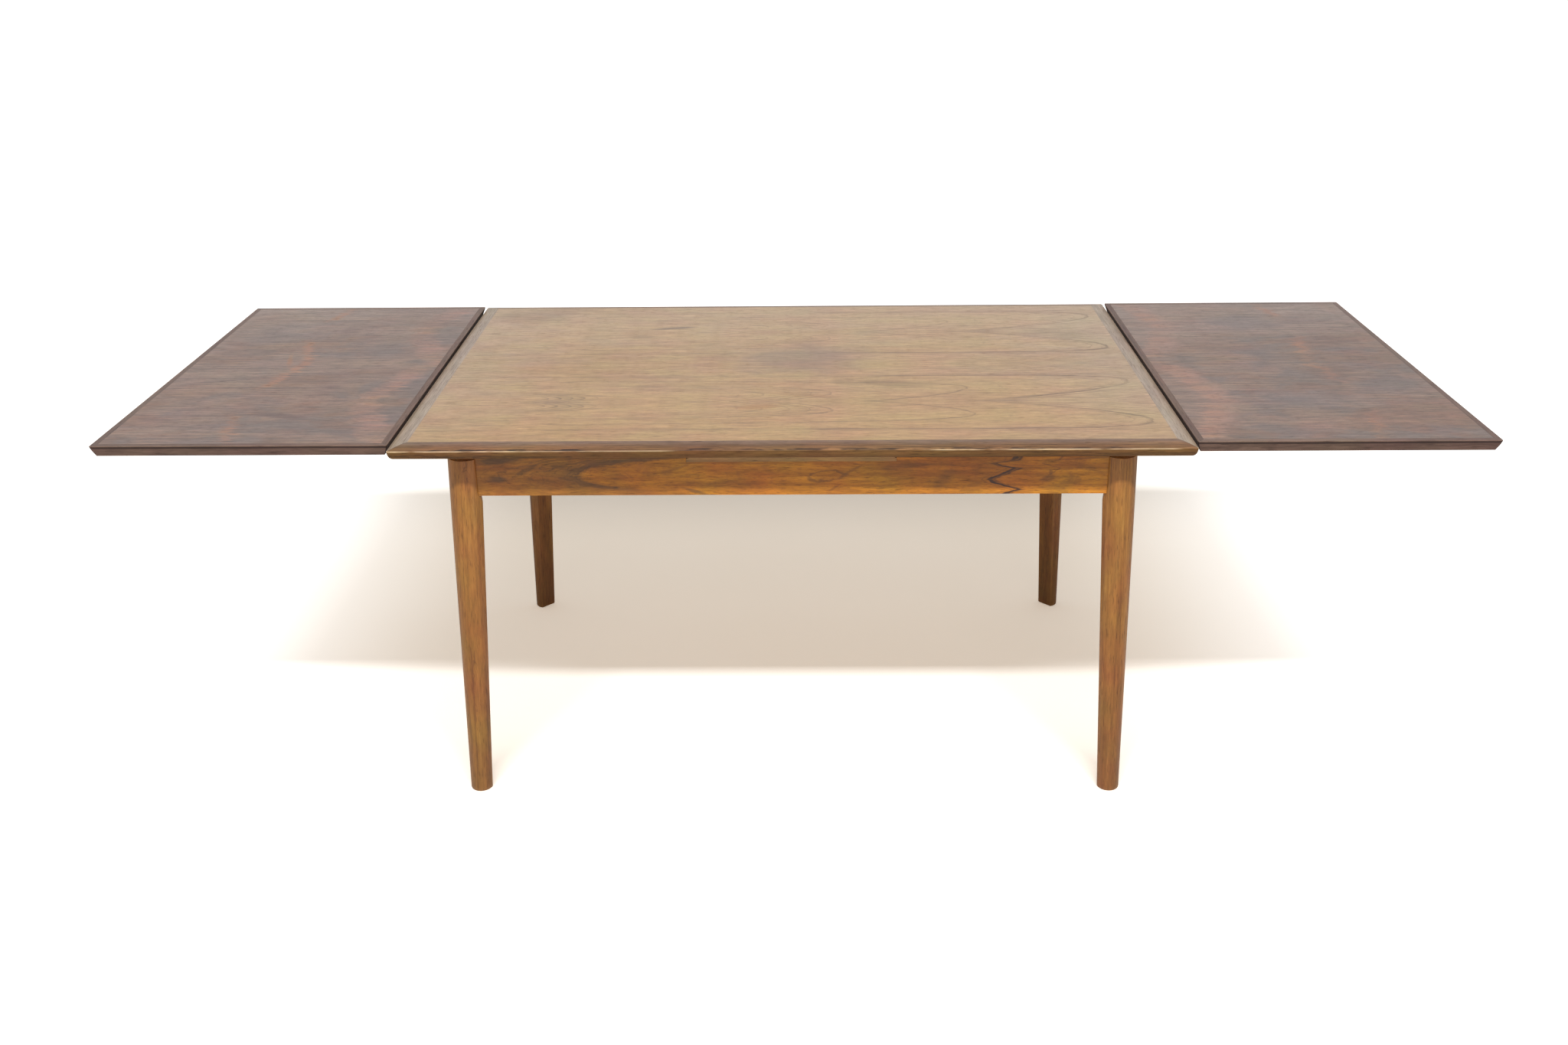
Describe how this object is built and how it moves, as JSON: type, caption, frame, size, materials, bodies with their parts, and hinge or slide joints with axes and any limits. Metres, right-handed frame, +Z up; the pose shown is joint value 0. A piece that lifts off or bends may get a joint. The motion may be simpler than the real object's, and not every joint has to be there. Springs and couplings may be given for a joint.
{
  "type": "extending dining table",
  "caption": "Draw-leaf dining table on round tapered legs: a loose main top lifts so that the end leaves slide under it on sloping runners.",
  "frame": {"origin": "centre of the table on the floor, under the middle of the main top", "axes": "+X along the table towards the right leaf as seen in the picture, +Y away from the viewer to the back, +Z up"},
  "size_m": [2.439, 0.892, 0.735],
  "materials": {
    "top_field": "faded rosewood veneer, oiled satin, grain along the table",
    "top_lipping": "solid rosewood lipping, faded, oiled satin, worn pale along the arris",
    "leaf_veneer": "dark unfaded rosewood veneer, oiled satin",
    "leaf_lipping": "solid dark rosewood, oiled satin",
    "apron": "warm brown rosewood veneer with dark figure, oiled satin",
    "leg": "solid warm brown rosewood, oiled satin, straight grain",
    "centre_board": "greyish brown veneered board",
    "inner_wood": "plain planed hardwood",
    "steel": "zinc plated, dull"
  },
  "bodies": {
    "frame": {"leg_front_left": "leg", "leg_front_right": "leg", "leg_back_left": "leg", "leg_back_right": "leg", "apron_front": "apron", "apron_back": "apron", "apron_left": "apron", "apron_right": "apron", "cross_rail_left": "inner_wood", "cross_rail_right": "inner_wood", "centre_board": "centre_board", "block_front_left": "inner_wood", "block_front_right": "inner_wood", "block_back_left": "inner_wood", "block_back_right": "inner_wood", "hanger_bolts": "steel", "washers": "steel", "nuts": "steel", "board_screws": "steel"},
    "top": {"top_panel": "top_field", "top_lip_front": "top_lipping", "top_lip_back": "top_lipping", "top_lip_left": "top_lipping", "top_lip_right": "top_lipping", "guide_pegs": "inner_wood"},
    "leaf_left": {"leaf_left_panel": "leaf_veneer", "leaf_left_lip_front": "leaf_lipping", "leaf_left_lip_back": "leaf_lipping", "leaf_left_lip_outer": "leaf_lipping", "leaf_left_lip_inner": "leaf_lipping", "runner_left_front": "inner_wood", "runner_left_back": "inner_wood", "stop_pegs_left": "inner_wood", "runner_screws_left": "steel"},
    "leaf_right": {"leaf_right_panel": "leaf_veneer", "leaf_right_lip_front": "leaf_lipping", "leaf_right_lip_back": "leaf_lipping", "leaf_right_lip_outer": "leaf_lipping", "leaf_right_lip_inner": "leaf_lipping", "runner_right_front": "inner_wood", "runner_right_back": "inner_wood", "stop_pegs_right": "inner_wood", "runner_screws_right": "steel"}
  },
  "joints": [
    {"name": "top_lift", "type": "slide", "parent": "frame", "child": "top", "axis": [0, 0, 1], "range_m": [0, 0.03]},
    {"name": "leaf_left_slide", "type": "slide", "parent": "frame", "child": "leaf_left", "axis": [-0.9989, 0, 0.0479], "range_m": [-0.0012, 0.01]},
    {"name": "leaf_right_slide", "type": "slide", "parent": "frame", "child": "leaf_right", "axis": [0.9989, 0, 0.0479], "range_m": [-0.0012, 0.01]}
  ]
}
